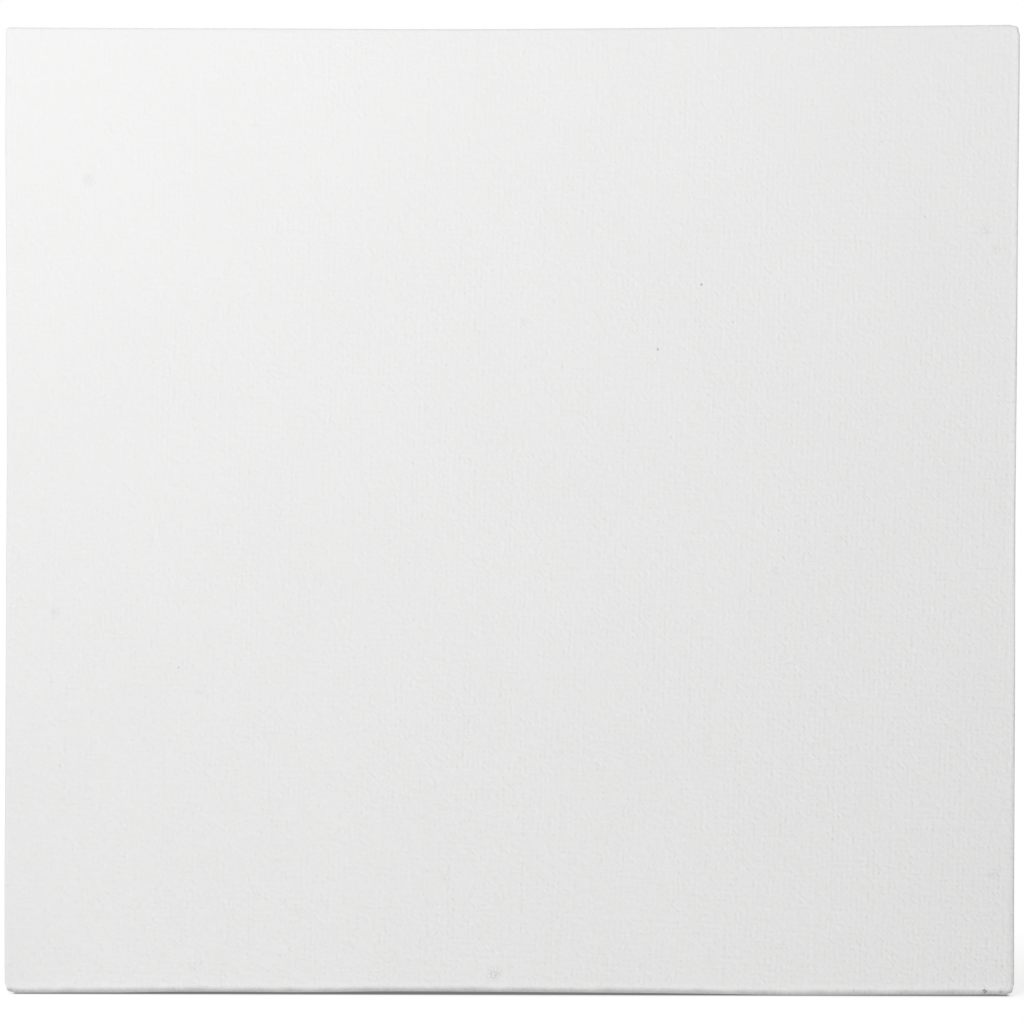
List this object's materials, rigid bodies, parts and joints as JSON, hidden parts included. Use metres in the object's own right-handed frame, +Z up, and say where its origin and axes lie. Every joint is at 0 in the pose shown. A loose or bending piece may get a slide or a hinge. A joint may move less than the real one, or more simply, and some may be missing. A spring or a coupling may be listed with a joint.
{
  "type": "stretched canvas",
  "caption": "Blank primed cotton canvas stretched over a mitred wooden frame, stapled on the back, with wedge keys that slide in the corner slots.",
  "frame": {"origin": "on the ground below the middle of the bottom edge, halfway through the depth", "axes": "+X to the right as seen from the painting face, +Y from the painting face to the back, +Z up"},
  "size_m": [0.305, 0.019, 0.292],
  "materials": {
    "primed_cotton": "matte acrylic primer over plain weave",
    "pine": "planed, unvarnished",
    "key_wood": "sawn, unvarnished",
    "staple_steel": "bright galvanised wire"
  },
  "bodies": {
    "frame": {"canvas": "primed_cotton", "bottom_bar": "pine", "right_bar": "pine", "top_bar": "pine", "left_bar": "pine", "staple_bottom_1": "staple_steel", "staple_bottom_2": "staple_steel", "staple_bottom_3": "staple_steel", "staple_bottom_4": "staple_steel", "staple_bottom_5": "staple_steel", "staple_bottom_6": "staple_steel", "staple_right_1": "staple_steel", "staple_right_2": "staple_steel", "staple_right_3": "staple_steel", "staple_right_4": "staple_steel", "staple_right_5": "staple_steel", "staple_right_6": "staple_steel", "staple_top_1": "staple_steel", "staple_top_2": "staple_steel", "staple_top_3": "staple_steel", "staple_top_4": "staple_steel", "staple_top_5": "staple_steel", "staple_top_6": "staple_steel", "staple_left_1": "staple_steel", "staple_left_2": "staple_steel", "staple_left_3": "staple_steel", "staple_left_4": "staple_steel", "staple_left_5": "staple_steel", "staple_left_6": "staple_steel", "staple_corner_bottom_left": "staple_steel", "staple_corner_bottom_right": "staple_steel", "staple_corner_top_left": "staple_steel", "staple_corner_top_right": "staple_steel"},
    "key_bottom_left": {"key_bottom_left": "key_wood"},
    "key_bottom_right": {"key_bottom_right": "key_wood"},
    "key_right_bottom": {"key_right_bottom": "key_wood"},
    "key_right_top": {"key_right_top": "key_wood"},
    "key_top_right": {"key_top_right": "key_wood"},
    "key_top_left": {"key_top_left": "key_wood"},
    "key_left_top": {"key_left_top": "key_wood"},
    "key_left_bottom": {"key_left_bottom": "key_wood"}
  },
  "joints": [
    {"name": "key_bottom_left_slide", "type": "slide", "parent": "frame", "child": "key_bottom_left", "axis": [0, 0, 1], "range_m": [-0.0018, 0.017]},
    {"name": "key_bottom_right_slide", "type": "slide", "parent": "frame", "child": "key_bottom_right", "axis": [0, 0, 1], "range_m": [-0.0018, 0.017]},
    {"name": "key_right_bottom_slide", "type": "slide", "parent": "frame", "child": "key_right_bottom", "axis": [-1, 0, 0], "range_m": [-0.0018, 0.017]},
    {"name": "key_right_top_slide", "type": "slide", "parent": "frame", "child": "key_right_top", "axis": [-1, 0, 0], "range_m": [-0.0018, 0.017]},
    {"name": "key_top_right_slide", "type": "slide", "parent": "frame", "child": "key_top_right", "axis": [0, 0, -1], "range_m": [-0.0018, 0.017]},
    {"name": "key_top_left_slide", "type": "slide", "parent": "frame", "child": "key_top_left", "axis": [0, 0, -1], "range_m": [-0.0018, 0.017]},
    {"name": "key_left_top_slide", "type": "slide", "parent": "frame", "child": "key_left_top", "axis": [1, 0, 0], "range_m": [-0.0018, 0.017]},
    {"name": "key_left_bottom_slide", "type": "slide", "parent": "frame", "child": "key_left_bottom", "axis": [1, 0, 0], "range_m": [-0.0018, 0.017]}
  ]
}
